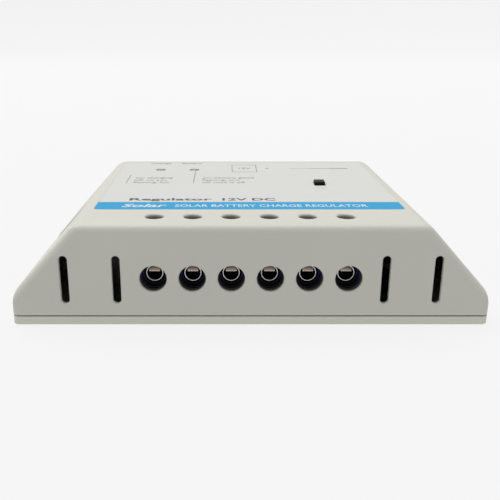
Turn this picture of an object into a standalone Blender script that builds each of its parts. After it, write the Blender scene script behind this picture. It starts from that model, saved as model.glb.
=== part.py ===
"""A small solar charge controller: a sloped plastic case over a circuit board with six screw terminals.

Lengths in this file are millimetres, and meshes are made in metres. X runs along the row of terminals,
-Y is the terminal side and +Z is up. The origin is on the underside, in the middle of the case.
"""

import math

import bmesh
import bpy
from mathutils import Matrix, Vector

MM = 0.001
GAP = 0.3  # left between two pieces that touch

# Case
CASE_WIDTH, CASE_DEPTH, CASE_HEIGHT = 92.8, 65.0, 20.2
TOP_WIDTH = 67.0  # flat top, between the tops of the two slopes
SIDE_HEIGHT = 6.0  # where the upright sides meet the slopes
WALL = 2.0
CORNER_RADIUS, TOP_CORNER_RADIUS = 1.2, 1.5  # in plan, at the foot and at the top of the slopes
SIDE_EDGE_RADIUS, SLOPE_EDGE_RADIUS = 5.0, 3.5  # side to slope, and slope to top
TOP_EDGE_RADIUS = 1.5  # front and back to top
BASE_THICKNESS = 1.8
BASE_BEVEL = 0.3
COVER_FOOT = BASE_THICKNESS + GAP

# Terminals
POLE_PITCH, POLE_COUNT = 7.5, 6
POLES = [(n - (POLE_COUNT - 1) / 2) * POLE_PITCH for n in range(POLE_COUNT)]
BLOCKS = {"solar": -2 * POLE_PITCH, "battery": 0.0, "load": 2 * POLE_PITCH}
WIRE_HEIGHT = 9.5
WIRE_HOLE_RADIUS = 2.6
SCREW_Y = -25.9
SCREW_HOLE_RADIUS = 2.0
SCREW_TRAVEL = 1.25  # two and a half turns
BLOCK_FRONT, BLOCK_BACK, BLOCK_TOP = -30.1, -19.1, 17.7
BLOCK_WIDTH = 2 * POLE_PITCH - GAP
TUBE_HALF_WIDTH, TUBE_FRONT, TUBE_BACK = 2.3, -27.9, -22.4
TUBE_FOOT, TUBE_TOP = 6.9, 12.2
TUBE_BORE_RADIUS, TUBE_THREAD_RADIUS = 1.5, 1.5
COLLAR_FRONT, COLLAR_RADIUS = -28.95, 1.75  # the round mouth of a tube
MOUTH_BACK, MOUTH_RADIUS = -28.75, 2.4  # the round mouth of a housing
GUARD_FOOT, GUARD_THICKNESS, GUARD_HALF_WIDTH = WIRE_HEIGHT + 0.35, 0.25, 1.05
HEAD_FOOT = TUBE_TOP + GAP + SCREW_TRAVEL
HEAD_HEIGHT, HEAD_RADIUS, SHANK_RADIUS = 1.8, 1.95, 1.2

# Vents and side mounting pockets
VENT_PLACES, VENT_WIDTH, VENT_FOOT, VENT_TOP = (25.8, 35.8), 1.4, 4.45, 14.1
VENT_WALL, VENT_MARGIN = 0.8, 0.8  # the wall is thinned behind each vent
EAR_X, EAR_POCKET_RADIUS, EAR_WALL, EAR_FLOOR, EAR_HOLE_RADIUS = 42.0, 4.5, 1.8, 4.0, 2.25

# Board and its fixings
BOARD_FOOT, BOARD_THICKNESS = 3.2, 1.6
BOARD_TOP = BOARD_FOOT + BOARD_THICKNESS
PART_FOOT = BOARD_TOP + GAP
BOARD_HALF_WIDTH, BOARD_FRONT, BOARD_BACK = 34.0, -29.0, 28.0
NOTCH_X, NOTCH_Y = 27.5, 22.5
CASE_SCREWS = [(x, y) for x in (-31.0, 31.0) for y in (-26.0, 26.0)]
BOARD_SCREWS = [(x, y) for x in (-31.0, 31.0) for y in (-16.0, 16.0)]
SMALL_SHANK_RADIUS = 1.0
SMALL_BORE_RADIUS = SMALL_SHANK_RADIUS + GAP
CHIPS_PER_ROW = 4

# Label, lights and sensor
LABEL_HALF_WIDTH, LABEL_FRONT, LABEL_BACK = 31.7, -20.8, 29.5
LABEL_THICKNESS, RECESS_DEPTH = 0.25, 0.6
LIGHTS = {"charge_led": -21.5, "battery_led": -12.75}
LIGHT_Y, LIGHT_RADIUS, LEAD_SPREAD, LEAD_RADIUS = 19.6, 1.25, 1.27, 0.25
SPACER_RADIUS, SPACER_TOP = 2.3, 14.0
SENSOR_X, SENSOR_Y, SENSOR_WIDTH, SENSOR_DEPTH = 17.4, 3.4, 2.4, 2.8
SENSOR_FOOT, SENSOR_TOP, SENSOR_LEAD_SPREAD = 10.0, 20.9, 0.75


def across(axis, u, v, along):
    """The point at u, v in the plane across an axis, and at a distance along it."""
    return {"X": (along, u, v), "Y": (u, along, v), "Z": (u, v, along)}[axis]


def circle(u, v, radius, sides):
    turns = (2 * math.pi * (k + 0.5) / sides for k in range(sides))
    return [(u + radius * math.cos(t), v + radius * math.sin(t)) for t in turns]


def rounded_rectangle(half_u, half_v, radius, steps=4, centre=(0.0, 0.0)):
    points = []
    for corner, (side_u, side_v) in enumerate([(1, 1), (-1, 1), (-1, -1), (1, -1)]):
        for step in range(steps + 1):
            turn = math.pi / 2 * (corner + step / steps)
            points.append((
                centre[0] + side_u * (half_u - radius) + radius * math.cos(turn),
                centre[1] + side_v * (half_v - radius) + radius * math.sin(turn),
            ))
    return points


class Solid:
    """Closed bodies gathered in one mesh, before it becomes an object."""

    def __init__(self):
        self.bm = bmesh.new()

    def loft(self, rings):
        """A body through rings of points, with its ends filled."""
        rows = [[self.bm.verts.new(point) for point in ring] for ring in rings]
        self.bm.faces.new(rows[0])
        self.bm.faces.new(rows[-1])
        for lower, upper in zip(rows, rows[1:]):
            for k in range(len(lower)):
                j = (k + 1) % len(lower)
                self.bm.faces.new((lower[k], lower[j], upper[j], upper[k]))
        return self

    def prism(self, outline, low, high, axis="Z"):
        return self.loft([[across(axis, u, v, along) for u, v in outline] for along in (low, high)])

    def box(self, x, y, z):
        outline = [(x[0], y[0]), (x[1], y[0]), (x[1], y[1]), (x[0], y[1])]
        return self.prism(outline, *z)

    def turned(self, profile, u, v, axis="Z", sides=16):
        """A body turned about a line along the axis, from radius and height pairs."""
        rings = []
        for radius, along in profile:
            rings.append([across(axis, *point, along) for point in circle(u, v, radius, sides)])
        return self.loft(rings)

    def cylinder(self, u, v, radius, low, high, axis="Z", sides=16):
        return self.turned([(radius, low), (radius, high)], u, v, axis, sides)

    def mesh(self, name, origin=(0.0, 0.0, 0.0)):
        bmesh.ops.recalc_face_normals(self.bm, faces=self.bm.faces)
        for vert in self.bm.verts:
            vert.co = (vert.co - Vector(origin)) * MM
        mesh = bpy.data.meshes.new(name)
        self.bm.to_mesh(mesh)
        self.bm.free()
        return mesh


def finish(name, colour, roughness, metallic=0.0):
    material = bpy.data.materials.new(name)
    material.use_nodes = True
    shader = material.node_tree.nodes["Principled BSDF"]
    shader.inputs["Base Color"].default_value = (*colour, 1.0)
    shader.inputs["Roughness"].default_value = roughness
    shader.inputs["Metallic"].default_value = metallic
    return material


def place(name, mesh, material, origin=(0.0, 0.0, 0.0)):
    """One named piece, with its own copy of the finish."""
    piece = bpy.data.objects.new(name, mesh)
    bpy.context.scene.collection.objects.link(piece)
    piece.location = Vector(origin) * MM
    if material:
        mesh.materials.clear()
        mesh.materials.append(material)
        mesh.shade_smooth()
        mesh.set_sharp_from_angle(angle=math.radians(35))
    return piece


def combine(piece, operation, name, solid):
    """Joins a solid to a piece, or cuts it away, with a Boolean modifier, and returns the guide object."""
    guide = place(f"{name}_guide", solid.mesh(f"{name}_guide"), None)
    guide.hide_render = True
    guide.display_type = "WIRE"
    modifier = piece.modifiers.new(name, "BOOLEAN")
    modifier.operation = operation
    modifier.solver = "EXACT"
    modifier.object = guide
    return guide


def cut(piece, name, solid):
    return combine(piece, "DIFFERENCE", name, solid)


def join(piece, name, solid):
    return combine(piece, "UNION", name, solid)


def finished_mesh(piece, name):
    """The piece's mesh with its modifiers worked in, for sharing between copies. The piece is removed."""
    bpy.context.view_layer.update()
    graph = bpy.context.evaluated_depsgraph_get()
    mesh = bpy.data.meshes.new_from_object(piece.evaluated_get(graph))
    mesh.name = name
    for modifier in piece.modifiers:
        bpy.data.objects.remove(modifier.object)
    bpy.data.objects.remove(piece)
    return mesh


def case_half_width(z, inset=0.0):
    """Half the case's width at a height: upright side, arc, slope, and arc into the flat top."""
    slope = math.atan2(CASE_HEIGHT - SIDE_HEIGHT, (CASE_WIDTH - TOP_WIDTH) / 2)
    foot_turn, top_turn = (math.pi / 2 - slope) / 2, slope / 2
    side = CASE_WIDTH / 2 - inset
    side_height = SIDE_HEIGHT - inset * math.tan(foot_turn)
    top = TOP_WIDTH / 2 - inset * math.tan(top_turn)
    radius = SIDE_EDGE_RADIUS - inset
    centre = side_height - radius * math.tan(foot_turn)
    if z <= centre:
        return side
    if z <= centre + radius * math.cos(slope):
        return side - radius + math.sqrt(radius**2 - (z - centre) ** 2)
    radius = max(SLOPE_EDGE_RADIUS - inset, 0.0)
    centre = CASE_HEIGHT - inset - radius
    if radius and z > centre + radius * math.cos(slope):
        return top - radius * math.tan(top_turn) + math.sqrt(max(radius**2 - (z - centre) ** 2, 0.0))
    return side - (z - side_height) / math.tan(slope)


def case_ring(z, inset=0.0):
    """The case's outline at a height."""
    half_depth = CASE_DEPTH / 2 - inset
    above = z - (CASE_HEIGHT - TOP_EDGE_RADIUS)
    if not inset and above > 0:
        half_depth -= TOP_EDGE_RADIUS - math.sqrt(max(TOP_EDGE_RADIUS**2 - above**2, 0.0))
    rise = min(max((z - SIDE_HEIGHT) / (CASE_HEIGHT - SIDE_HEIGHT), 0.0), 1.0)
    radius = max(CORNER_RADIUS + (TOP_CORNER_RADIUS - CORNER_RADIUS) * rise - inset, 0.4)
    outline = rounded_rectangle(case_half_width(z, inset), half_depth, radius)
    return [(x, y, z) for x, y in outline]


def between(low, high, steps):
    return [low + (high - low) * step / steps for step in range(steps + 1)]


def ear_outline(side, radius):
    """A U in plan, round towards the middle of the case and open past its side."""
    arc = [(EAR_X - radius * math.sin(t), radius * math.cos(t)) for t in between(0.0, math.pi, 12)]
    reach = CASE_WIDTH / 2 + 3
    return [(side * x, y) for x, y in arc + [(reach, -radius), (reach, radius)]]


def top_cover(material):
    arc_levels = between(4.0, 7.5, 4)
    top_levels = [
        CASE_HEIGHT - TOP_EDGE_RADIUS * (1 - math.sin(turn)) for turn in between(0.0, math.pi / 2, 5)
    ]
    shell = Solid().loft([case_ring(z) for z in [COVER_FOOT, *arc_levels, *top_levels]])
    cover = place("top_cover", shell.mesh("top_cover"), material)

    inner_levels = [COVER_FOOT - 1, *between(3.8, 6.2, 3), 17.2, CASE_HEIGHT - WALL]
    hollow = cut(cover, "hollow", Solid().loft([case_ring(z, WALL) for z in inner_levels]))
    ears = Solid()
    for side in (-1, 1):
        ears.prism(ear_outline(side, EAR_POCKET_RADIUS + EAR_WALL), -1, CASE_HEIGHT + 1)
    cut(hollow, "ear_walls", ears)

    bosses = Solid()
    for x, y in CASE_SCREWS:
        bosses.cylinder(x, y, 2.8, 3.7, CASE_HEIGHT - 1.2)
    join(cover, "screw_bosses", bosses)

    openings, pockets = Solid(), Solid()
    for side in (-1, 1):
        openings.prism(ear_outline(side, EAR_POCKET_RADIUS), EAR_FLOOR, CASE_HEIGHT + 1)
    for x in POLES:
        wall = (-CASE_DEPTH / 2 - 1, -CASE_DEPTH / 2 + WALL + 1)
        openings.cylinder(x, WIRE_HEIGHT, WIRE_HOLE_RADIUS, *wall, "Y", 24)
    for x in (side * place_x for place_x in VENT_PLACES for side in (-1, 1)):
        middle = (VENT_FOOT + VENT_TOP) / 2
        slot = rounded_rectangle(VENT_WIDTH / 2, VENT_TOP - middle, VENT_WIDTH / 2, 3, (x, middle))
        half = VENT_WIDTH / 2 + VENT_MARGIN
        for side in (-1, 1):
            wall = sorted((side * (CASE_DEPTH / 2 + 1), side * (CASE_DEPTH / 2 - WALL)))
            openings.prism(slot, *wall, "Y")
            thinned = sorted((side * (CASE_DEPTH / 2 - VENT_WALL), side * (CASE_DEPTH / 2 - WALL - 0.5)))
            pockets.box((x - half, x + half), thinned, (VENT_FOOT - VENT_MARGIN, VENT_TOP + VENT_MARGIN))
    for x, y in CASE_SCREWS:
        openings.cylinder(x, y, SMALL_BORE_RADIUS, 3.0, 11.0)
    recess = (LABEL_FRONT - GAP, LABEL_BACK + GAP)
    half = LABEL_HALF_WIDTH + GAP
    openings.box((-half, half), recess, (CASE_HEIGHT - RECESS_DEPTH, CASE_HEIGHT + 1))
    cut(cover, "vent_pockets", pockets)
    cut(cover, "openings", openings)

    holes = Solid()
    for x in (-EAR_X, EAR_X):
        holes.cylinder(x, 0, EAR_HOLE_RADIUS, COVER_FOOT - 1, EAR_FLOOR + 1, sides=20)
    for x in POLES:
        holes.cylinder(x, SCREW_Y, SCREW_HOLE_RADIUS, CASE_HEIGHT - WALL - 1, CASE_HEIGHT + 1, sides=20)
    cut(cover, "holes", light_and_sensor_holes(holes, CASE_HEIGHT - WALL - 1))


def light_and_sensor_holes(solid, foot):
    """Adds the two round holes over the lights and the sensor's window, up past the case's top."""
    for x in LIGHTS.values():
        solid.cylinder(x, LIGHT_Y, LIGHT_RADIUS + GAP, foot, CASE_HEIGHT + 1, sides=20)
    half_x, half_y = SENSOR_WIDTH / 2 + GAP, SENSOR_DEPTH / 2 + GAP
    window = (SENSOR_X - half_x, SENSOR_X + half_x), (SENSOR_Y - half_y, SENSOR_Y + half_y)
    return solid.box(*window, (foot, CASE_HEIGHT + 1))


def base_plate(material):
    outline = [(0.0, BASE_BEVEL), (BASE_BEVEL, 0.0), (BASE_THICKNESS, 0.0)]
    rings = []
    for z, inset in outline:
        half = CASE_WIDTH / 2 - inset, CASE_DEPTH / 2 - inset
        rings.append([(x, y, z) for x, y in rounded_rectangle(*half, CORNER_RADIUS - inset)])
    base = place("base_plate", Solid().loft(rings).mesh("base_plate"), material)

    raised = Solid()
    rib_x, rib_y, rib, top = CASE_WIDTH / 2 - WALL - GAP, CASE_DEPTH / 2 - WALL - GAP, 0.9, BOARD_FOOT
    for side in (-1, 1):
        raised.box((-42, 42), sorted((side * rib_y, side * (rib_y - rib))), (1, top))
        for end in (-1, 1):
            raised.box(sorted((side * rib_x, side * (rib_x - rib))), sorted((end * 7.2, end * 28)), (1, top))
    for x, y in CASE_SCREWS:
        raised.cylinder(x, y, 3.2, 1, 3.4)
    for x, y in BOARD_SCREWS:
        raised.cylinder(x, y, 2.6, 1, BOARD_FOOT - GAP)
    join(base, "ribs_and_posts", raised)

    holes = Solid()
    for x in (-EAR_X, EAR_X):
        holes.cylinder(x, 0, EAR_HOLE_RADIUS, -1, BASE_THICKNESS + 1, sides=20)
    for x, y in CASE_SCREWS:
        holes.turned([(2.4, -1), (2.4, 1.7), (SMALL_BORE_RADIUS, 1.7), (SMALL_BORE_RADIUS, 4)], x, y)
    for x, y in BOARD_SCREWS:
        holes.cylinder(x, y, SMALL_BORE_RADIUS, 0.8, 4)
    cut(base, "holes", holes)


def label_overlay(material):
    middle = (LABEL_FRONT + LABEL_BACK) / 2
    outline = rounded_rectangle(LABEL_HALF_WIDTH, LABEL_BACK - middle, 1.0, 3, (0.0, middle))
    foot = CASE_HEIGHT - RECESS_DEPTH + GAP
    sheet = Solid().prism(outline, foot, foot + LABEL_THICKNESS)
    label = place("label_overlay", sheet.mesh("label_overlay"), material)
    cut(label, "label_holes", light_and_sensor_holes(Solid(), foot - 1))


def circuit_board(material):
    x, inner_x, inner_y = BOARD_HALF_WIDTH, NOTCH_X, NOTCH_Y
    right = [
        (inner_x, BOARD_FRONT), (inner_x, -inner_y), (x, -inner_y),
        (x, inner_y), (inner_x, inner_y), (inner_x, BOARD_BACK),
    ]
    outline = right + [(-u, v) for u, v in reversed(right)]
    sheet = Solid().prism(outline, BOARD_FOOT, BOARD_TOP)
    board = place("circuit_board", sheet.mesh("circuit_board"), material)
    holes = Solid()
    through = BOARD_FOOT - 1, BOARD_TOP + 1
    for pole in POLES:
        holes.cylinder(pole, SCREW_Y, 0.9, *through, sides=10)
    for screw_x, screw_y in BOARD_SCREWS:
        holes.cylinder(screw_x, screw_y, SMALL_BORE_RADIUS, *through)
    for side in (-1, 1):
        for light_x in LIGHTS.values():
            holes.cylinder(light_x + side * LEAD_SPREAD, LIGHT_Y, LEAD_RADIUS + GAP, *through, sides=8)
        holes.cylinder(SENSOR_X + side * SENSOR_LEAD_SPREAD, SENSOR_Y, LEAD_RADIUS + GAP, *through, sides=8)
    cut(board, "board_holes", holes)


def terminal_blocks(material):
    """Three two-pole housings. Each pole has a pocket for its clamp, a wire mouth and a screw well."""
    outline = [
        (BLOCK_FRONT, PART_FOOT), (BLOCK_BACK, PART_FOOT), (BLOCK_BACK, BLOCK_TOP - 3),
        (BLOCK_BACK - 2.4, BLOCK_TOP), (BLOCK_FRONT, BLOCK_TOP),
    ]
    half = BLOCK_WIDTH / 2
    block = place("block", Solid().prism(outline, -half, half, "X").mesh("block"), None)
    pockets, mouths, necks, wells = Solid(), Solid(), Solid(), Solid()
    reach = TUBE_HALF_WIDTH + GAP
    for x in (-POLE_PITCH / 2, POLE_PITCH / 2):
        pockets.box(
            (x - reach, x + reach), (TUBE_FRONT - GAP, TUBE_BACK + GAP), (PART_FOOT - 1, TUBE_TOP + GAP)
        )
        mouths.cylinder(x, WIRE_HEIGHT, MOUTH_RADIUS, BLOCK_FRONT - 1, MOUTH_BACK, "Y", 20)
        necks.cylinder(x, WIRE_HEIGHT, COLLAR_RADIUS + GAP, MOUTH_BACK - 0.1, TUBE_FRONT + 0.1, "Y", 20)
        wells.cylinder(x, SCREW_Y, HEAD_RADIUS + GAP, TUBE_TOP - 0.2, BLOCK_TOP + 1, sides=20)
    cut(block, "pockets", pockets)
    cut(block, "mouths", mouths)
    cut(block, "necks", necks)
    cut(block, "wells", wells)
    mesh = finished_mesh(block, "terminal_block")
    for name, x in BLOCKS.items():
        place(f"terminal_block_{name}", mesh.copy(), material, (x, 0, 0))


def terminal_clamps(plate, spring, steel):
    """For each pole a fixed tube, a leaf that presses the wire down in it, and the screw above the leaf."""
    half = TUBE_HALF_WIDTH
    body = Solid().box((-half, half), (TUBE_FRONT, TUBE_BACK), (TUBE_FOOT, TUBE_TOP))
    tube = place("tube", body.mesh("tube"), None)
    collar = Solid().cylinder(0, WIRE_HEIGHT, COLLAR_RADIUS, COLLAR_FRONT, TUBE_FRONT + 0.3, "Y", 20)
    join(tube, "collar", collar)
    join(tube, "solder_pin", Solid().cylinder(0, SCREW_Y, 0.6, BOARD_FOOT - 0.7, TUBE_FOOT + 0.2, sides=10))
    bore = Solid().cylinder(0, WIRE_HEIGHT, TUBE_BORE_RADIUS, COLLAR_FRONT - 1, TUBE_BACK - 0.8, "Y", 20)
    cut(tube, "bore", bore)
    cut(tube, "thread", Solid().cylinder(0, SCREW_Y, TUBE_THREAD_RADIUS, WIRE_HEIGHT, TUBE_TOP + 1, sides=18))
    tube_mesh = finished_mesh(tube, "terminal_tube")

    foot, top = GUARD_FOOT, GUARD_FOOT + GUARD_THICKNESS
    lip, back = COLLAR_FRONT + 0.05, TUBE_BACK - 1.2  # an upturned lip just inside the tube's mouth
    outline = [
        (back, foot), (lip, foot), (lip + 0.35, foot + 1.0),
        (lip + 0.59, foot + 0.92), (lip + 0.35, top), (back, top),
    ]
    guard_origin = (0, SCREW_Y, foot)
    leaf = place("leaf", Solid().prism(outline, -GUARD_HALF_WIDTH, GUARD_HALF_WIDTH, "X").mesh("leaf"), None)
    inside = Solid().cylinder(0, WIRE_HEIGHT, TUBE_BORE_RADIUS - 0.2, lip - 1, back + 1, "Y", 24)
    combine(leaf, "INTERSECT", "inside", inside)
    guard_mesh = finished_mesh(leaf, "wire_guard")
    guard_mesh.transform(Matrix.Translation(Vector(guard_origin) * -MM))

    profile = [
        (SHANK_RADIUS - 0.3, top + GAP), (SHANK_RADIUS, top + GAP + 0.3), (SHANK_RADIUS, HEAD_FOOT),
        (HEAD_RADIUS, HEAD_FOOT), (HEAD_RADIUS, HEAD_FOOT + HEAD_HEIGHT - 0.2),
        (HEAD_RADIUS - 0.2, HEAD_FOOT + HEAD_HEIGHT),
    ]
    screw = place("screw", Solid().turned(profile, 0, 0, sides=18).mesh("screw"), None)
    drive = Solid().box((-3, 3), (-0.35, 0.35), (HEAD_FOOT + HEAD_HEIGHT - 0.9, HEAD_FOOT + HEAD_HEIGHT + 1))
    cut(screw, "drive", drive)
    screw_mesh = finished_mesh(screw, "terminal_screw")

    for number, x in enumerate(POLES, 1):
        place(f"terminal_tube_{number}", tube_mesh.copy(), plate, (x, 0, 0))
        place(f"wire_guard_{number}", guard_mesh.copy(), spring, (x, SCREW_Y, foot))
        place(f"terminal_screw_{number}", screw_mesh.copy(), steel, (x, SCREW_Y, 0))


def lights(lens_material, spacer_material):
    foot = SPACER_TOP + GAP
    profile = [
        (LIGHT_RADIUS + 0.4, foot), (LIGHT_RADIUS + 0.4, foot + 0.9), (LIGHT_RADIUS, foot + 0.9),
        (LIGHT_RADIUS, 19.7), (LIGHT_RADIUS - 0.35, 20.15), (LIGHT_RADIUS - 0.9, 20.35),
    ]
    for name, x in LIGHTS.items():
        lens = place(name, Solid().turned(profile, x, LIGHT_Y, sides=20).mesh(name), lens_material)
        leads = Solid()
        for side in (-1, 1):
            lead_x = x + side * LEAD_SPREAD
            leads.cylinder(lead_x, LIGHT_Y, LEAD_RADIUS, BOARD_FOOT - 0.6, foot + 0.4, sides=8)
        join(lens, f"{name}_leads", leads)

        post = Solid().cylinder(x, LIGHT_Y, SPACER_RADIUS, PART_FOOT, SPACER_TOP)
        spacer = place(f"{name}_spacer", post.mesh(f"{name}_spacer"), spacer_material)
        bores = Solid()
        for side in (-1, 1):
            bore_x = x + side * LEAD_SPREAD
            bores.cylinder(bore_x, LIGHT_Y, LEAD_RADIUS + GAP, PART_FOOT - 1, SPACER_TOP + 1, sides=8)
        cut(spacer, f"{name}_bores", bores)


def temperature_sensor(material):
    half_x, half_y, edge = SENSOR_WIDTH / 2, SENSOR_DEPTH / 2, 0.25
    rings = []
    for z, inset in ((SENSOR_FOOT, 0.0), (SENSOR_TOP - edge, 0.0), (SENSOR_TOP, edge)):
        outline = rounded_rectangle(half_x - inset, half_y - inset, 0.25, 2, (SENSOR_X, SENSOR_Y))
        rings.append([(x, y, z) for x, y in outline])
    sensor = place("temperature_sensor", Solid().loft(rings).mesh("temperature_sensor"), material)
    leads = Solid()
    for side in (-1, 1):
        lead_x = SENSOR_X + side * SENSOR_LEAD_SPREAD
        leads.cylinder(lead_x, SENSOR_Y, LEAD_RADIUS, BOARD_FOOT - 0.6, SENSOR_FOOT + 0.4, sides=8)
    join(sensor, "sensor_leads", leads)


def power_chip(name, x, y, material):
    """A flat power transistor: body, a tab behind it and two legs in front."""
    z = PART_FOOT
    body = Solid().box((x - 3.3, x + 3.3), (y - 3.05, y + 3.05), (z, z + 2.3))
    chip = place(name, body.mesh(name), material)
    legs = Solid().box((x - 2.6, x + 2.6), (y + 2.8, y + 4.2), (z, z + 0.5))
    for side in (-1, 1):
        legs.box((x + side * 2.3 - 0.35, x + side * 2.3 + 0.35), (y - 5.6, y - 2.8), (z, z + 0.5))
    join(chip, f"{name}_legs", legs)


def cased_diode(name, x, y, material):
    """A block-shaped diode, lying along Y, with a folded end contact on each end."""
    z = PART_FOOT
    body = Solid().box((x - 2.9, x + 2.9), (y - 3.4, y + 3.4), (z + 0.2, z + 2.3))
    diode = place(name, body.mesh(name), material)
    ends = Solid()
    for side in (-1, 1):
        ends.box((x - 1.5, x + 1.5), sorted((y + side * 3.0, y + side * 3.9)), (z, z + 1.2))
    join(diode, f"{name}_ends", ends)


def small_chip(name, x, y, half, height, legs_per_side, pitch, material):
    """A small flat chip with a row of legs along its front and back."""
    z = PART_FOOT
    body = Solid().box((x - half[0], x + half[0]), (y - half[1], y + half[1]), (z + 0.1, z + height))
    chip = place(name, body.mesh(name), material)
    legs = Solid()
    for leg in range(legs_per_side):
        leg_x = x + (leg - (legs_per_side - 1) / 2) * pitch
        for side in (-1, 1):
            reach = sorted((y + side * (half[1] - 0.2), y + side * (half[1] + 1.0)))
            legs.box((leg_x - 0.2, leg_x + 0.2), reach, (z, z + 0.35))
    join(chip, f"{name}_legs", legs)


def can_capacitor(name, x, y, radius, height, material):
    z = PART_FOOT
    profile = [
        (radius - 0.2, z), (radius, z + 0.3), (radius, z + 1.2), (radius - 0.3, z + 1.5), (radius, z + 1.8),
        (radius, z + height - 0.3), (radius - 0.3, z + height),
    ]
    place(name, Solid().turned(profile, x, y, sides=20).mesh(name), material)


def plain_chip(name, x, y, half, height, material):
    """A leadless chip, one plain block."""
    z = PART_FOOT
    body = Solid().box((x - half[0], x + half[0]), (y - half[1], y + half[1]), (z, z + height))
    place(name, body.mesh(name), material)


def moulded(name):
    """The black compound that chips are moulded in."""
    return finish(f"{name}_compound", (0.02, 0.02, 0.022), 0.5)


def board_components():
    for name, x in {"charge_mosfet": -17, "reverse_mosfet": -7, "load_mosfet": 3}.items():
        power_chip(name, x, -12, moulded(name))
    for name, x in {"schottky_diode": 13, "transient_suppressor": 22}.items():
        cased_diode(name, x, -12, moulded(name))
    can_capacitor("input_capacitor", -24, 2, 4.0, 11.5, finish("large_can", (0.45, 0.46, 0.48), 0.35, 0.8))
    can_capacitor("output_capacitor", 26, 2, 3.15, 11.0, finish("small_can", (0.5, 0.5, 0.52), 0.35, 0.8))
    small_chip("microcontroller", -5, 5, (4.35, 1.95), 1.6, 7, 1.27, moulded("microcontroller"))
    small_chip("regulator_chip", 9, 12, (2.3, 1.25), 1.5, 3, 1.5, moulded("regulator_chip"))
    plain_chip("current_shunt", -5, 14, (3.2, 1.6), 0.7, moulded("current_shunt"))
    resistor = finish("resistor_black", (0.04, 0.04, 0.04), 0.4)
    ceramic = finish("ceramic_tan", (0.42, 0.3, 0.18), 0.5)
    for number in range(CHIPS_PER_ROW):
        plain_chip(f"chip_resistor_{number + 1}", 6 + 3.5 * number, 4.5, (1.0, 0.65), 0.5, resistor)
        plain_chip(f"chip_capacitor_{number + 1}", 15 + 3.5 * number, 13, (1.0, 0.65), 0.9, ceramic)


def small_screws(name, places, profile, material):
    for number, (x, y) in enumerate(places, 1):
        screw = Solid().turned(profile, x, y, sides=14)
        place(f"{name}_{number}", screw.mesh(f"{name}_{number}"), material)


def main():
    for old in list(bpy.data.objects):
        bpy.data.objects.remove(old)

    top_cover(finish("cover_plastic", (0.72, 0.72, 0.69), 0.45))
    base_plate(finish("base_plastic", (0.70, 0.70, 0.67), 0.5))
    label_overlay(finish("label_film", (0.76, 0.76, 0.75), 0.35))
    circuit_board(finish("board_green", (0.02, 0.16, 0.06), 0.4))
    terminal_blocks(finish("block_blue", (0.01, 0.05, 0.25), 0.35))
    terminal_clamps(
        finish("nickel", (0.62, 0.62, 0.6), 0.25, 1.0),
        finish("spring_bronze", (0.55, 0.5, 0.42), 0.3, 1.0),
        finish("zinc_steel", (0.6, 0.6, 0.62), 0.3, 1.0),
    )
    lights(finish("led_lens", (0.3, 0.32, 0.31), 0.3), finish("spacer_nylon", (0.6, 0.6, 0.58), 0.5))
    temperature_sensor(finish("sensor_black", (0.01, 0.01, 0.01), 0.4))
    board_components()

    shank, top = SMALL_SHANK_RADIUS, PART_FOOT
    profile = [(1.8, 0.2), (2.1, 0.5), (2.1, 1.4), (shank, 1.4), (shank, 10.2)]
    small_screws("case_screw", CASE_SCREWS, profile, finish("case_screw_steel", (0.3, 0.3, 0.31), 0.35, 1.0))
    profile = [(shank, 1.3), (shank, top), (1.9, top), (1.9, top + 0.9), (1.3, top + 1.3)]
    small_screws("board_screw", BOARD_SCREWS, profile, finish("board_steel", (0.6, 0.6, 0.6), 0.3, 1.0))


main()
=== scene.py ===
"""The looks of a small solar charge controller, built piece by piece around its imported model."""

import math
from contextlib import contextmanager
from itertools import product
from types import SimpleNamespace

import bmesh
import bpy
from bpy.props import FloatProperty, FloatVectorProperty, PointerProperty
from bpy.types import Operator, Panel, PropertyGroup
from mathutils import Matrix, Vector


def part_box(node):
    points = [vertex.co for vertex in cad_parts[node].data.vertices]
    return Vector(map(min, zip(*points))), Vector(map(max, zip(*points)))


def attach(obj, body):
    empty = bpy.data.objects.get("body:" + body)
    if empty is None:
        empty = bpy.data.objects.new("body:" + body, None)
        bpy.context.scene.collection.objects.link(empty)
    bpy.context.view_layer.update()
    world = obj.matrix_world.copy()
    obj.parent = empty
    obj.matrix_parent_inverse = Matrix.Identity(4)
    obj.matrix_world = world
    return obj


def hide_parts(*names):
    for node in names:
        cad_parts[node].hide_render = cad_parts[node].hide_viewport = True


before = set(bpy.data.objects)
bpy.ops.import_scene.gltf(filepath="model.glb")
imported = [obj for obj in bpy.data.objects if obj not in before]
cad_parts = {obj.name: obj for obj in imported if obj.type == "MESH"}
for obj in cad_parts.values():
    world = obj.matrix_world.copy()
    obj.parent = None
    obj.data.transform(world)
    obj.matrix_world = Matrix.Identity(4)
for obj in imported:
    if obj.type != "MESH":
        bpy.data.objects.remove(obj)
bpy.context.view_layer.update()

bl_info = {
    "name": "Charge Controller",
    "version": (1, 0, 0),
    "blender": (4, 5, 0),
    "location": "View3D > Sidebar > Controller",
    "description": "Builds a small solar charge controller with its stage",
    "category": "Add Mesh",
}

MM = 0.001
NEAR = 0.02 * MM  # two places closer than this are the same
STRAIGHT = 0.99  # an edge this far along an axis runs along it
SHARP = math.radians(30)  # faces that meet at more than this make a sharp edge
SMOOTH = math.radians(35)  # faces that meet at less than this are shaded as one
X, Y, Z = range(3)
SIDES = (-1, 1)
ARC = [math.radians(12 * step) for step in range(8)]  # a quarter round in steps
POLES = range(1, 7)
SCREWS = range(1, 5)
BLOCKS = ("solar", "battery", "load")
LIGHTS = ("charge_led", "battery_led")
VENTS = [x * MM for x in (-35.8, -25.8, 25.8, 35.8)]
SCREW_BORE = 1.3 * MM
SENSOR_GAP = 0.8 * MM
LEAD = 0.25 * MM  # radius of the wire leads of the lights and the sensor


def middle(node):
    low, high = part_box(node)
    return (low + high) / 2


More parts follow.
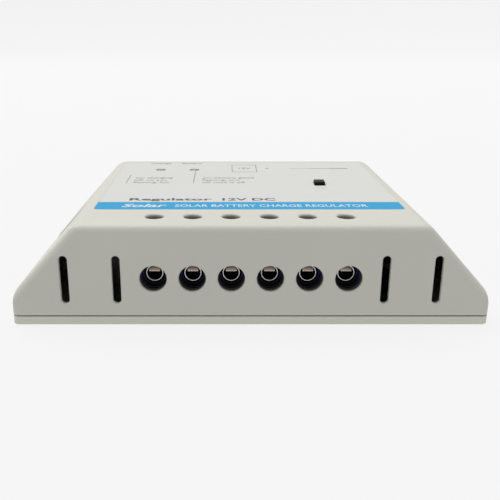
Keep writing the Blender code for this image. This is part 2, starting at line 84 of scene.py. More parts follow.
def spots(node, numbers):
    """Where the numbered nodes of one kind stand, along X and Y."""
    return [middle(f"{node}_{number}").xy for number in numbers]


def length_of(name, description, millimetres):
    return FloatProperty(
        name=name, description=description, default=millimetres * MM, unit="LENGTH", precision=5
    )


def number_of(name, description, default):
    return FloatProperty(name=name, description=description, default=default)


def colour_of(name, description, default):
    return FloatVectorProperty(
        name=name, description=description, default=default, subtype="COLOR", max=1.0
    )


# --- Settings ---


class CaseSettings(PropertyGroup):
    wall: length_of("Wall", "Thickness of the moulded walls", 2.0)
    shoulder: length_of("Shoulder", "Height where the slopes begin", 6.0)
    top_width: length_of("Top width", "Width of the top, between the two slopes", 67.0)
    corner: length_of("Corner radius", "Radius of the upright corners", 1.2)
    edge: length_of("Edge radius", "Radius along the front and back of the top and the slopes", 1.5)
    slope_radius: length_of("Slope radius", "Radius where the slopes turn into the top", 3.5)
    shoulder_radius: length_of("Shoulder radius", "Radius where the sides turn into the slopes", 5.0)
    rim: length_of("Rim radius", "Rounding of the rims of holes and slots", 0.3)
    wire_hole: length_of("Wire hole radius", "Holes in the front wall", 2.6)
    driver_hole: length_of("Driver hole radius", "Holes over the terminal screws", 1.75)
    driver_rim: length_of("Driver hole rim", "Radius of the soft rims of those holes", 0.5)
    vent_width: length_of("Vent width", "Width of the vent slots", 1.6)
    vent_low: length_of("Vent foot", "Height of the lower ends of the vent slots", 4.45)
    vent_high: length_of("Vent top", "Height of the upper ends of the vent slots", 14.1)
    vent_wall: length_of("Vent wall", "Thickness of the wall around the vent slots", 0.8)
    base_top: length_of("Base top", "Height of the base's upper face", 1.75)
    groove: length_of("Groove", "Height of the parting line between cover and base", 0.26)
    ear_x: length_of("Ear distance", "Mounting hole to the middle of the case", 42.0)
    ear_pocket: length_of("Ear pocket radius", "Room around a mounting screw's head", 4.5)
    ear_floor: length_of("Ear floor", "Height of the seat of a mounting screw", 4.0)
    ear_hole: length_of("Ear hole radius", "Clearance for a mounting screw", 2.25)
    cover_colour: colour_of("Cover colour", "Moulded cover", (0.478, 0.476, 0.428))
    base_colour: colour_of("Base colour", "Moulded base", (0.53, 0.525, 0.455))


class LabelSettings(PropertyGroup):
    recess: length_of("Recess", "Depth of the recess for the label", 0.3)
    margin: length_of("Margin", "Gap around the label", 0.012)
    sink: length_of("Sink", "Depth of the label's face below the top", 0.01)
    band_back: length_of("Band edge", "Place of the band's rear edge along Y", -14.6)
    ink: length_of("Ink", "Thickness of the printing", 0.02)
    film_colour: colour_of("Film colour", "Label film", (0.503, 0.505, 0.487))
    band_colour: colour_of("Band colour", "Wide printed band", (0.003, 0.252, 0.468))
    ink_colour: colour_of("Ink colour", "Small print", (0.20, 0.21, 0.22))
    dark_colour: colour_of("Title colour", "Title print", (0.05, 0.055, 0.055))
    white_colour: colour_of("White ink colour", "Print on the band", (0.50, 0.56, 0.60))


class TerminalSettings(PropertyGroup):
    bore: length_of("Bore radius", "Bore of a clamp tube", 1.5)
    collar: length_of("Collar radius", "Round mouth of a clamp tube", 1.75)
    body_front: length_of("Tube front", "Front of a clamp tube's square body along Y", -27.9)
    body_foot: length_of("Tube foot", "Underside of a clamp tube's square body", 6.9)
    mouth: length_of("Mouth radius", "Wire mouth of a housing", 2.4)
    mouth_back: length_of("Mouth back", "Inner end of a housing's wire mouth along Y", -28.75)
    well: length_of("Well radius", "Screw well of a housing", 2.25)
    shank: length_of("Shank radius", "Outer radius of a terminal screw's thread", 1.2)
    head: length_of("Head height", "Height of a terminal screw's head", 1.8)
    pitch: length_of("Thread pitch", "Pitch of a terminal screw", 0.5)
    housing_colour: colour_of("Housing colour", "Terminal housings", (0.003, 0.010, 0.060))
    nickel_colour: colour_of("Nickel colour", "Clamp tubes", (0.72, 0.71, 0.69))
    leaf_colour: colour_of("Leaf colour", "Wire guards", (0.33, 0.27, 0.225))
    steel_colour: colour_of("Steel colour", "Screws", (0.60, 0.60, 0.61))


class BoardSettings(PropertyGroup):
    mask_colour: colour_of("Mask colour", "Solder mask of the board", (0.004, 0.035, 0.014))
    tin_colour: colour_of("Tin colour", "Legs, pads and solder", (0.62, 0.62, 0.61))
    lens_colour: colour_of("Lens colour", "Status lights", (0.21, 0.22, 0.21))
    nylon_colour: colour_of("Nylon colour", "Spacers", (0.62, 0.61, 0.56))
    can_colour: colour_of("Can colour", "Aluminium of the capacitors", (0.66, 0.67, 0.68))
    sleeve_colour: colour_of("Sleeve colour", "Sleeves of the capacitors", (0.012, 0.014, 0.03))
    ceramic_colour: colour_of("Ceramic colour", "Chip capacitors", (0.36, 0.22, 0.12))


class StageSettings(PropertyGroup):
    lens: number_of("Lens", "Focal length in millimetres", 48.66)
    shift: number_of("Shift", "Sideways shift of the lens", 0.0534)
    tilt: FloatProperty(
        name="Tilt", description="Angle below level", default=math.radians(18.17), subtype="ANGLE"
    )
    place: FloatVectorProperty(
        name="Camera place", description="Where the camera stands", subtype="TRANSLATION",
        default=(-5.3 * MM, -153.5 * MM, 55.1 * MM), precision=4,
    )
    key: number_of("Key light", "Strength of the soft light overhead", 3.35)
    ambient: number_of("Ambient light", "Strength of the light from all round", 0.30)
    floor_colour: colour_of("Floor colour", "Pale floor", (0.92, 0.92, 0.92))
    floor_paint: colour_of("Floor paint", "Share of the floor's colour that takes shade", (0.06, 0.06, 0.06))
    floor_glow: number_of("Floor glow", "Evenness of the floor's light", 0.90)
    floor_radius: length_of("Floor radius", "Flat part of the floor", 1200.0)
    sweep: length_of("Sweep", "Radius with which the floor turns into the wall", 450.0)
    wall_height: length_of("Wall height", "Top of the wall around the floor", 750.0)


# --- Modelling, as by hand ---


def deselect():
    bpy.ops.object.select_all(action="DESELECT")


def activate(piece):
    deselect()
    piece.select_set(True)
    bpy.context.view_layer.objects.active = piece


def settle(name):
    """Names the object just added, and works its place, turn and scale into its mesh."""
    piece = bpy.context.object
    piece.name = piece.data.name = name
    bpy.ops.object.transform_apply(location=True, rotation=True, scale=True)
    return piece


def block(name, low, high):
    low, high = Vector(low), Vector(high)
    deselect()
    bpy.ops.mesh.primitive_cube_add(size=1, location=(low + high) / 2, scale=high - low)
    return settle(name)


def rod(radius, start, end, sides):
    """A cylinder from one point to another."""
    start, end = Vector(start), Vector(end)
    along = end - start
    deselect()
    bpy.ops.mesh.primitive_cylinder_add(
        vertices=sides, radius=radius, depth=along.length, location=(start + end) / 2,
        rotation=along.to_track_quat("Z", "Y").to_euler(),
    )
    return settle("rod")


def post(radius, x, y, low, high, sides=48):
    """An upright rod."""
    return rod(radius, (x, y, low), (x, y, high), sides)


def tunnel(radius, x, z, start, end, sides=64):
    """A rod along Y."""
    return rod(radius, (x, start, z), (x, end, z), sides)


def disc(name, radius, height, sides):
    deselect()
    place = (0, 0, height)
    bpy.ops.mesh.primitive_circle_add(vertices=sides, radius=radius, fill_type="NGON", location=place)
    return settle(name)


def add_rings(extrude, radius, height, rings):
    """Extrudes what is selected ring by ring, to each ring's radius and height."""
    for next_radius, next_height in rings:
        ratio = next_radius / radius
        extrude(TRANSFORM_OT_translate={"value": (0, 0, next_height - height)})
        bpy.ops.transform.resize(value=(ratio, ratio, 1), center_override=(0, 0, 0))
        radius, height = next_radius, next_height


def face_outwards():
    bpy.ops.mesh.select_all(action="SELECT")
    bpy.ops.mesh.normals_make_consistent(inside=False)


def turned(name, profile, x, y, sides=48):
    """A round piece: a disc extruded and resized ring by ring, then stood in its place."""
    piece = disc(name, *profile[0], sides)
    with editing(piece):
        bpy.ops.mesh.select_all(action="SELECT")
        add_rings(bpy.ops.mesh.extrude_region_move, *profile[0], profile[1:])
        face_outwards()
    piece.location = (x, y, 0)
    return settle(name)


@contextmanager
def editing(piece, mode="FACE"):
    """Edit mode on one piece, with nothing selected."""
    activate(piece)
    bpy.ops.object.mode_set(mode="EDIT")
    bpy.ops.mesh.select_mode(type=mode)
    bpy.ops.mesh.select_all(action="DESELECT")
    yield
    bpy.ops.object.mode_set(mode="OBJECT")


def pick(piece, kind, test):
    """Selects the faces, edges or verts that pass a test on their place or direction."""
    bm = bmesh.from_edit_mesh(piece.data)
    found = [element for element in getattr(bm, kind) if test(element)]
    if not found:
        raise RuntimeError(f"{piece.name}: no {kind} found to work on")
    for element in found:
        element.select_set(True)
    bmesh.update_edit_mesh(piece.data)


def direction(edge):
    return (edge.verts[1].co - edge.verts[0].co).normalized()


def upright(edge):
    return abs(direction(edge).z) > STRAIGHT


def sharp(edge):
    return edge.calc_face_angle(0) > SHARP


def at(value, place):
    return abs(value - place) < NEAR


def lies_at(edge, axis, place):
    """Whether both ends of an edge have the same given place along an axis."""
    return all(at(vert.co[axis], place) for vert in edge.verts)


def round_edges(piece, test, radius, segments=3):
    with editing(piece, "EDGE"):
        pick(piece, "edges", test)
        bpy.ops.mesh.bevel(offset=radius, segments=segments, affect="EDGES", clamp_overlap=True)


def stretch(piece, test, move):
    """Moves one side of a shape, so that a round becomes a slot."""
    with editing(piece, "VERT"):
        pick(piece, "verts", test)
        bpy.ops.transform.translate(value=move)
    return piece


def apply(piece, kind, **settings):
    """Adds a modifier and works it into the mesh."""
    activate(piece)
    modifier = piece.modifiers.new(kind.title(), kind)
    for name, value in settings.items():
        setattr(modifier, name, value)
    bpy.ops.object.modifier_apply(modifier=modifier.name)


def merge(name, pieces):
    """One object of several closed bodies that stay apart."""
    activate(pieces[0])
    for piece in pieces:
        piece.select_set(True)
    if len(pieces) > 1:
        bpy.ops.object.join()
    pieces[0].name = pieces[0].data.name = name
    return pieces[0]


def shape(piece, operation, tools):
    """Cuts tools out of a piece, or joins them to it, and removes them."""
    tool = merge("tool", tools)
    apply(piece, "BOOLEAN", operation=operation, solver="EXACT", object=tool)
    bpy.data.objects.remove(tool)


def cut(piece, *tools):
    shape(piece, "DIFFERENCE", tools)


def fuse(piece, *tools):
    shape(piece, "UNION", tools)


def copy_of(piece, name, move):
    """A copy with a mesh of its own, moved within its mesh."""
    activate(piece)
    bpy.ops.object.duplicate(linked=False)
    copy = bpy.context.object
    copy.name = copy.data.name = name
    copy.location = move
    bpy.ops.object.transform_apply(location=True)
    return copy


def complete(piece, body, slot, finish, *nodes):
    """Gives a piece its shading and finish, its body, and the nodes it stands for."""
    activate(piece)
    bpy.ops.object.shade_smooth_by_angle(angle=SMOOTH)
    apply(piece, "WEIGHTED_NORMAL", keep_sharp=True)
    piece.data.materials.clear()
    piece.data.materials.append(finish)
    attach(piece, body)
    if nodes:
        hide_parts(*nodes)


def numbered(name, node, numbers, body="case"):
    """The name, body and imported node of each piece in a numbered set."""
    return [(f"{name}_{number}", body.format(number), f"{node}_{number}") for number in numbers]


def repeat(first, slot, finish, rows):
    """Completes a piece, then copies it to the places of the other nodes like its own."""
    start = middle(rows[0][2])
    for name, body, node in rows:
        piece = first if node == rows[0][2] else copy_of(first, name, middle(node) - start)
        complete(piece, body, slot, finish, node)


def coat(names, finish):
    """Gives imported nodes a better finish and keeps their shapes."""
    for name in names:
        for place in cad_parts[name].material_slots:
            place.material = finish


# --- Finishes ---


class Value:
    """A number that changes over a surface. Sums on it add Math nodes."""

    def __init__(self, finish, socket):
        self.finish, self.socket = finish, socket

    def _sum(self, operation, *parts):
        return self.finish.node("ShaderNodeMath", {"operation": operation}, dict(enumerate(parts)))

    def __add__(self, other):
        return self._sum("ADD", self, other)

    def __sub__(self, other):
        return self._sum("SUBTRACT", self, other)

    def __rsub__(self, other):
        return self._sum("SUBTRACT", other, self)

    def __mul__(self, other):
        return self._sum("MULTIPLY", self, other)

    def __abs__(self):
        return self._sum("ABSOLUTE", self)

    __radd__, __rmul__ = __add__, __mul__


class Finish:
    """A material built node by node on the piece's own coordinates."""

    def __init__(self, name, **sockets):
        self.material = bpy.data.materials.new(name)
        self.material.use_nodes = True
        self.tree = self.material.node_tree
        self.shader = self.tree.nodes["Principled BSDF"]
        self.feed(self.shader, sockets)
        self.place = self.node("ShaderNodeTexCoord", {}, {}, "Object")

    def feed(self, node, sockets):
        """Links values to sockets, or sets them. A name's underscores stand for spaces."""
        for key, value in sockets.items():
            socket = node.inputs[key.replace("_", " ") if isinstance(key, str) else key]
            if isinstance(value, Value):
                self.tree.links.new(value.socket, socket)
            elif socket.type == "RGBA":
                socket.default_value = (*value, 1.0)
            else:
                socket.default_value = value

    def node(self, kind, settings, sockets, output=0):
        """Any node: its settings first, then what its sockets take. Gives one of its outputs."""
        node = self.tree.nodes.new(kind)
        for name, value in settings.items():
            setattr(node, name, value)
        self.feed(node, sockets)
        return Value(self, node.outputs[output])

    def noise(self, size, detail=3.0, stretch=(1, 1, 1)):
        """Noise from 0 to 1 whose features have about the given size in millimetres."""
        place = self.node("ShaderNodeMapping", {}, {"Vector": self.place, "Scale": stretch})
        sockets = {"Vector": place, "Scale": 1 / (size * MM), "Detail": detail}
        return self.node("ShaderNodeTexNoise", {}, sockets)

    def along(self, axis):
        """The place along an axis."""
        return self.node("ShaderNodeSeparateXYZ", {}, {"Vector": self.place}, axis)

    def steps(self, value, low, high):
        """From 0 at one value to 1 at another, smoothly."""
        return self.node(
            "ShaderNodeMapRange", {"interpolation_type": "SMOOTHSTEP", "clamp": True},
            {"Value": value, "From Min": low, "From Max": high},
        )

    def between(self, value, low, high, rise=0.2 * MM, fall=0.2 * MM):
        """Up to 1 just above one value, and back to 0 just below another."""
        return self.steps(value, low, low + rise) * (1 - self.steps(value, high - fall, high))

    def blend(self, factor, first, second):
        """A mix of two colours."""
        return self.node("ShaderNodeMix", {"data_type": "RGBA"}, {"Factor": factor, 6: first, 7: second}, 2)

    def shades(self, factor, colour, first, second):
        """A mix of two shades of one colour."""
        return self.blend(factor, shade(colour, first), shade(colour, second))

    def done(self, colour, roughness, **sockets):
        """Feeds the shader what changes over the surface, and gives the material."""
        self.feed(self.shader, {"Base Color": colour, "Roughness": roughness, **sockets})
        return self.material

    def bump(self, height, depth):
        """A relief of the given depth in millimetres."""
        return self.node("ShaderNodeBump", {}, {"Height": height, "Distance": depth * MM}, "Normal")


def shade(colour, factor):
    return tuple(min(part * factor, 1.0) for part in colour)


def moulded(name, colour, roughness=0.46, grain=0.25, depth=0.006, painted_shade=None):
    """Moulded plastic: a fine even texture, faint flow marks and a slight change of gloss."""
    finish = Finish(name, Specular_IOR_Level=0.4)
    flow, fine = finish.noise(18, 2.0), finish.noise(grain, 2.0)
    body, gloss = finish.shades(flow, colour, 0.975, 1.02), roughness + 0.05 * flow + 0.05 * fine
    # Painted shade: where the given mask is high, the colour darkens to 0.06 of itself and the surface turns
    # rougher
    if painted_shade:
        shade_amount = painted_shade(finish, fine)
        body, gloss = finish.blend(shade_amount, body, shade(colour, 0.06)), gloss + 0.3 * shade_amount
    return finish.done(body, gloss, Normal=finish.bump(fine, depth))


def hole_dust(finish, fine):
    """Painted shade deep in the cover's screwdriver holes and wire holes, and nowhere else."""
    x, y, z = (finish.along(axis) for axis in (X, Y, Z))
    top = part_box("top_cover")[1].z
    terminals = 1 - finish.steps(abs(x), 21.5 * MM, 22.0 * MM)
    deep = 1 - finish.steps(z, top - 1.3 * MM, top - 0.1 * MM)
    wells = finish.between(y, -29.2 * MM, -23.0 * MM) * deep * (0.9 + 0.1 * fine)
    mouths = finish.between(z, 6.5 * MM, 12.5 * MM)
    mouths = mouths * finish.between(y, -32.35 * MM, -30.2 * MM, 0.85 * MM)
    return terminals * (wells + 0.92 * mouths)


def housing_plastic(name, colour, low, high):
    """Glossy dark plastic, with painted shade that darkens it towards the foot of the wire mouths."""
    finish = Finish(name, Specular_IOR_Level=0.3)
    unshaded = finish.steps(finish.along(Z), low, high)
    flow, fine = finish.noise(4, 2.0), finish.noise(0.3, 2.0)
    # Painted shade: towards the foot of the wire mouths the colour falls to 0.12 of itself
    body = finish.blend(unshaded, shade(colour, 0.12), finish.shades(flow, colour, 1, 1.25))
    return finish.done(body, 0.5 - 0.1 * unshaded + 0.06 * fine, Normal=finish.bump(fine, 0.003))


def film(name, colour, band_colour, band_back):
    """Printed plastic film with a fine matt grain and a band of colour along its front."""
    finish = Finish(name, Specular_IOR_Level=0.16)
    fine, cloud = finish.noise(0.12, 2.0), finish.noise(9, 2.0)
    plain = finish.shades(cloud, colour, 0.985, 1.015)
    printed = finish.shades(cloud, band_colour, 0.97, 1.03)
    behind = finish.steps(finish.along(Y), band_back - 0.04 * MM, band_back + 0.04 * MM)
    body = finish.blend(behind, printed, plain)
    return finish.done(body, 0.42 + 0.08 * fine, Normal=finish.bump(fine, 0.002))


def ink(name, colour):
    """Screen print, slightly uneven."""
    finish = Finish(name, Specular_IOR_Level=0.35)
    spread = finish.noise(0.3, 3.0)
    return finish.done(finish.shades(spread, colour, 0.9, 1.1), 0.5 + 0.1 * spread)


def lens(name, colour, tin):
    """A cloudy light over bright leads."""
    finish = Finish(name, Specular_IOR_Level=0.5)
    lead = 1 - finish.steps(finish.along(Z), 14.25 * MM, 14.3 * MM)
    cloud = finish.noise(0.6, 2.0)
    body = finish.blend(lead, finish.shades(cloud, colour, 0.93, 1.06), tin)
    bump = finish.bump(cloud, 0.004)
    return finish.done(body, 0.22 + 0.1 * cloud, Metallic=lead, Normal=bump)


def tube_metal(name, colour):
    """Nickel plate, bright at the mouth; in the bore rougher, with painted shade that makes it nearly black.
    """
    finish = Finish(name, Metallic=1.0)
    scratch = finish.noise(0.1, 4.0)
    # Painted shade: behind the mouth the bore turns nearly black and rougher
    depth = finish.steps(finish.along(Y), -28.85 * MM, -28.2 * MM)
    patch = finish.steps(finish.noise(0.9, 4.0), 0.45, 0.75)
    body = finish.blend(depth, finish.shades(patch, colour, 1, 0.7), (0.01, 0.01, 0.012))
    roughness = 0.22 + 0.1 * scratch + 0.4 * depth
    return finish.done(body, roughness, Normal=finish.bump(scratch, 0.003))


def leaf_metal(name, colour, low, high):
    """Spring bronze, with a painted highlight along its lower edge and painted shade that darkens it towards
    its top.
    """
    finish = Finish(name, Metallic=1.0)
    z = finish.along(Z)
    # Painted highlight: a bright band along the leaf's lower edge
    edge_highlight = 1 - finish.steps(z, low + 0.06 * MM, low + 0.22 * MM)
    # Painted shade: the leaf darkens towards its top
    upper_shade = finish.steps(z, low + 0.2 * MM, high)
    brush = finish.noise(0.15, 4.0, (1, 6, 6))
    body = finish.blend(edge_highlight, finish.shades(upper_shade, colour, 1.15, 0.55), shade(colour, 2.1))
    roughness = 0.3 + 0.12 * brush + 0.1 * upper_shade
    return finish.done(body, roughness, Normal=finish.bump(brush, 0.003))


def compound_and_legs(name, tin, colour, axis, centre, half, below=False):
    """A moulded chip between tinned legs or ends that stand out from its body along one axis."""
    finish = Finish(name, Specular_IOR_Level=0.2 if below else 0.5)
    leg = finish.steps(abs(finish.along(axis) - centre), half - 0.01 * MM, half)
    if below:
        leg = 1 - leg
    speck = finish.steps(finish.noise(0.08, 1.0), 0.62, 0.7)
    cloud = finish.noise(0.5)
    body = finish.blend(leg, finish.shades(speck, colour, 1, 2.0), finish.shades(cloud, tin, 0.85, 1))
    bump = finish.bump(finish.noise(0.15), 0.004)
    return finish.done(body, 0.5 - 0.2 * leg + 0.1 * cloud, Metallic=leg, Normal=bump)


def laminate(name, colour):
    """Green solder mask over the weave of the board, with wide copper areas showing faintly."""
    finish = Finish(name, Specular_IOR_Level=0.5)
    copper = finish.steps(finish.noise(5, 1.0), 0.5, 0.53)
    weave = finish.noise(0.5, 2.0, (1, 0.2, 1)) * finish.noise(0.5, 2.0, (0.2, 1, 1))
    body, bump = finish.shades(copper, colour, 1, 1.9), finish.bump(copper + 0.2 * weave, 0.02)
    return finish.done(body, 0.28 + 0.12 * weave, Normal=bump)


def can(name, colour, sleeve_colour, top):
    """An aluminium can in a dark sleeve that leaves its top open."""
    finish = Finish(name)
    open_top = finish.steps(finish.along(Z), top - 0.25 * MM, top - 0.2 * MM)
    grain = finish.noise(0.2, 3.0)
    body = finish.blend(open_top, finish.shades(grain, sleeve_colour, 1, 1.6), colour)
    bump = finish.bump(grain, 0.004)
    return finish.done(body, 0.35 + 0.1 * grain, Metallic=open_top, Normal=bump)


def metal(name, colour, roughness, brush=(1, 1, 1)):
    """Plated metal with fine scratches and dull patches."""
    finish = Finish(name, Metallic=1.0)
    scratch = finish.noise(0.12, 4.0, brush)
    patch = finish.steps(finish.noise(1.1, 4.0), 0.42, 0.75)
    gloss = roughness + 0.12 * scratch + 0.14 * patch
    return finish.done(finish.shades(patch, colour, 1, 0.75), gloss, Normal=finish.bump(scratch, 0.004))


# --- Case ---


def inset_wedge(case, inset, foot):
    """The sizes of the sloped block, drawn in evenly on all sides."""
    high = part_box("top_cover")[1]
    slope = math.atan2(high.z - case.shoulder, high.x - case.top_width / 2)
    return SimpleNamespace(
        width=high.x - inset,
        depth=high.y - inset,
        foot=foot,
        shoulder=case.shoulder - inset * math.tan((math.pi / 2 - slope) / 2),
        top=high.z - inset,
        top_width=case.top_width / 2 - inset * math.tan(slope / 2),
        slope=slope,
    )


def wedge(name, sizes):
    """A block with upright sides up to the shoulder and two slopes from there to the top."""
    width, depth, shoulder = sizes.width, sizes.depth, sizes.shoulder
    piece = block(name, (-width, -depth, sizes.foot), (width, depth, shoulder))
    with editing(piece):
        pick(piece, "faces", lambda face: face.normal.z > STRAIGHT)
        rise, narrow = (0, 0, sizes.top - shoulder), (sizes.top_width / width, 1, 1)
        bpy.ops.mesh.extrude_region_move(TRANSFORM_OT_translate={"value": rise})
        bpy.ops.transform.resize(value=narrow, center_override=(0, 0, sizes.top))
        bpy.ops.mesh.select_all(action="SELECT")
        bpy.ops.mesh.dissolve_limited(angle_limit=math.radians(1))
    return piece


def round_wedge(piece, case, sizes):
    """Rounds every edge of the sloped block by its own radius."""

    def level(edge, axis, height):
        return abs(direction(edge)[axis]) > STRAIGHT and at(edge.verts[0].co.z, height)

    slope, steep = sizes.slope / 2, (math.pi / 2 - sizes.slope) / 2
    kinds = [
        (case.corner, upright),
        (case.edge, lambda edge: 0.1 < abs(direction(edge).z) < STRAIGHT),
        (case.edge, lambda edge: level(edge, X, sizes.top)),
        (case.slope_radius * math.tan(slope), lambda edge: level(edge, Y, sizes.top)),
        (case.shoulder_radius * math.tan(steep), lambda edge: level(edge, Y, sizes.shoulder)),
    ]
    widest = max(width for width, _ in kinds)
    for width, test in kinds:
        with editing(piece, "EDGE"):
            pick(piece, "edges", test)
            bpy.ops.transform.edge_bevelweight(value=width / widest)
    apply(
        piece, "BEVEL", limit_method="WEIGHT", width=widest, segments=8,
        use_clamp_overlap=False, affect="EDGES",
    )


def ear_tools(case, radius, low, high):
    """A U on each side of the case, round towards the middle and open outwards."""
    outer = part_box("top_cover")[1].x + 3 * MM - case.ear_x
    tools = []
    for side in SIDES:
        x = side * case.ear_x
        tool = post(radius, x, 0, low, high)
        tools.append(stretch(tool, lambda vert: side * (vert.co.x - x) > NEAR, (side * outer, 0, 0)))
    return tools


def vent_pockets(case):
    """Room behind the vent slots, where the wall is thin."""
    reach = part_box("top_cover")[1].y
    tools = []
    for x, side in product(VENTS, SIDES):
        near, far = sorted((side * (reach - case.vent_wall), side * (reach - case.wall - 0.5 * MM)))
        low = (x - 1.5 * MM, near, case.vent_low - 0.8 * MM)
        tools.append(block("pocket", low, (x + 1.5 * MM, far, case.vent_high + 0.8 * MM)))
    return tools


def vent_tools(case):
    """Upright slots with round ends, beside the terminals on the front and on the back."""
    radius, reach = case.vent_width / 2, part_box("top_cover")[1].y
    height = (case.vent_low + case.vent_high) / 2
    half = (case.vent_high - case.vent_low) / 2 - radius
    tools = []
    for x, side in product(VENTS, SIDES):
        tool = tunnel(radius, x, height, side * (reach + MM), side * (reach - case.wall - MM), 32)
        for up in SIDES:
            stretch(tool, lambda vert: up * (vert.co.z - height) > NEAR, (0, 0, up * half))
        tools.append(tool)
    return tools


def dished_hole(case, x, y, top):
    """A round hole that opens out through a soft rim at the top."""
    throat, rim = case.driver_hole, case.driver_rim
    bend = [(throat + rim - rim * math.cos(angle), top - rim + rim * math.sin(angle)) for angle in ARC]
    profile = [(throat, top - case.wall - MM), *bend, (throat + rim, top + MM)]
    return turned("driver", profile, x, y, 64)


def light_and_sensor_tools(foot, top, radius, margin):
    """Two round holes for the lights and a window for the sensor, wider in front of it."""
    tools = [post(radius, *middle(name).xy, foot, top) for name in LIGHTS]
    low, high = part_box("temperature_sensor")
    front = low.y - margin - SENSOR_GAP
    window = block("window", (low.x - margin, front, foot), (high.x + margin, high.y + margin, top))
    round_edges(window, upright, 0.3 * MM)
    return [*tools, window]


def wire_height():
    """Height of the wire bores, a little below the lower faces of the wire guards."""
    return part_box("wire_guard_1")[0].z - 0.35 * MM


class CONTROLLER_OT_top_cover(Operator):
    """The sloped shell with its holes, vents, mounting pockets and the recess for the label"""

    bl_idname = "controller.top_cover"
    bl_label = "Top Cover"

    def execute(self, context):
        case, label = context.scene.controller_case, context.scene.controller_label
        low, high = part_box("top_cover")
        below, above = low.z - MM, high.z + MM
        sizes = inset_wedge(case, 0.0, case.base_top + case.groove)
        cover = wedge("cover_shell", sizes)
        round_wedge(cover, case, sizes)

        hollow = wedge("hollow", inset_wedge(case, case.wall, below))
        cut(hollow, *ear_tools(case, case.ear_pocket + 1.8 * MM, below - MM, above))
        cut(cover, hollow)
        screws = spots("case_screw", SCREWS)
        fuse(cover, *(post(2.8 * MM, x, y, 3.7 * MM, high.z - 1.2 * MM) for x, y in screws))
        cut(cover, *ear_tools(case, case.ear_pocket, case.ear_floor, above))
        cut(cover, *vent_pockets(case))
        tools, z, front = vent_tools(case), wire_height(), -high.y
        for x, _ in spots("terminal_tube", POLES):
            tools.append(tunnel(case.wire_hole, x, z, front - MM, front + case.wall + MM))
        cut(cover, *tools, *(post(SCREW_BORE, x, y, 3 * MM, 11 * MM, 32) for x, y in screws))

        flat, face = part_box("label_overlay")
        room = label.margin
        seat = (flat.x - room, flat.y - room, high.z - label.recess)
        recess = block("recess", seat, (face.x + room, face.y + room, above))
        round_edges(recess, upright, MM + room, 6)
        cut(cover, recess)
        tools = light_and_sensor_tools(high.z - case.wall - MM, above, 1.45 * MM, 0.25 * MM)
        tools += [dished_hole(case, x, y, high.z) for x, y in spots("terminal_screw", POLES)]
        tools += [post(case.ear_hole, side * case.ear_x, 0, below, case.ear_floor + MM) for side in SIDES]
        cut(cover, *tools)

        def on_wall(edge):
            """A rim of a hole or slot, on the outer face of the front or the back."""
            return sharp(edge) and all(
                at(abs(place.y), high.y) and abs(place.x) < high.x - 8 * MM
                and 4.2 * MM < place.z < 14.3 * MM
                for place in (vert.co for vert in edge.verts)
            )

        round_edges(cover, on_wall, case.rim, 4)
        # Painted shade in the cover's screwdriver holes and wire holes
        finish = moulded("cover_plastic", case.cover_colour, painted_shade=hole_dust)
        complete(cover, "case", "cover_plastic", finish, "top_cover")
        return {"FINISHED"}


class CONTROLLER_OT_base_plate(Operator):
    """The flat base under the parting line, with its pads, posts, ribs and screw seats"""

    bl_idname = "controller.base_plate"
    bl_label = "Base Plate"

    def execute(self, context):
        case = context.scene.controller_case
        low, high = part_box("base_plate")
        top, thick, crest, above = case.base_top, 0.45 * MM, 3.2 * MM, 5 * MM
        base = block("base_shell", low, (high.x, high.y, top))
        round_edges(base, upright, case.corner, 8)
        round_edges(base, lambda edge: lies_at(edge, Z, 0), 0.3 * MM)
        round_edges(base, lambda edge: lies_at(edge, Z, top), 0.06 * MM, 2)
        raised, bored, seats = [], [], []
        for side in SIDES:
            x, y = side * 43.65 * MM, side * 29.75 * MM
            raised.append(block("rib", (-42 * MM, y - thick, MM), (42 * MM, y + thick, crest)))
            for end in SIDES:
                near, far = sorted((end * 7.2 * MM, end * 28 * MM))
                raised.append(block("rib", (x - thick, near, MM), (x + thick, far, crest)))
        for (x, y), place in zip(spots("case_screw", SCREWS), spots("board_screw", SCREWS)):
            raised += [post(3.2 * MM, x, y, MM, 3.4 * MM), post(2.6 * MM, *place, MM, 2.9 * MM)]
            seats.append(post(2.4 * MM, x, y, -MM, 1.7 * MM))
            bored.append(post(SCREW_BORE, x, y, -MM, above, 32))
            bored.append(post(SCREW_BORE, *place, 1.2 * MM, above, 32))
        for piece in raised:
            fuse(base, piece)
        bored += [post(case.ear_hole, side * case.ear_x, 0, -MM, above, 64) for side in SIDES]
        cut(base, *seats)
        cut(base, *bored)
        complete(base, "case", "base_plastic", moulded("base_plastic", case.base_colour), "base_plate")
        return {"FINISHED"}


# --- Label. Its words and bars are placed in millimetres ---

NOTES = (
    ("Charge", -24.9, 27.6), ("Battery", -16.6, 27.6),
    ("on: charging", -26.9, 9.1), ("off: no sun", -26.9, 6.5), ("flashing: full", -26.9, 3.9),
    ("on: battery good", -10.5, 9.1), ("flashing: low", -10.5, 6.5), ("off: load is off", -10.5, 3.9),
    ("12V", -1.7, 20.7, 2.4), ("+", 5.5, 20.6, 2.4),
)
BARS = (
    (-28.5, -28.3, 4.0, 13.0), (-12.5, -12.3, 4.0, 17.6),
    (-3.1, 3.4, 26.1, 26.3), (-3.1, 3.4, 16.7, 16.9), (-3.1, -2.9, 17.0, 26.0), (3.2, 3.4, 17.0, 26.0),
    (11.9, 17.5, 21.35, 21.55), (17.5, 22.5, 21.2, 21.6), (22.5, 27.2, 21.0, 21.7),
)


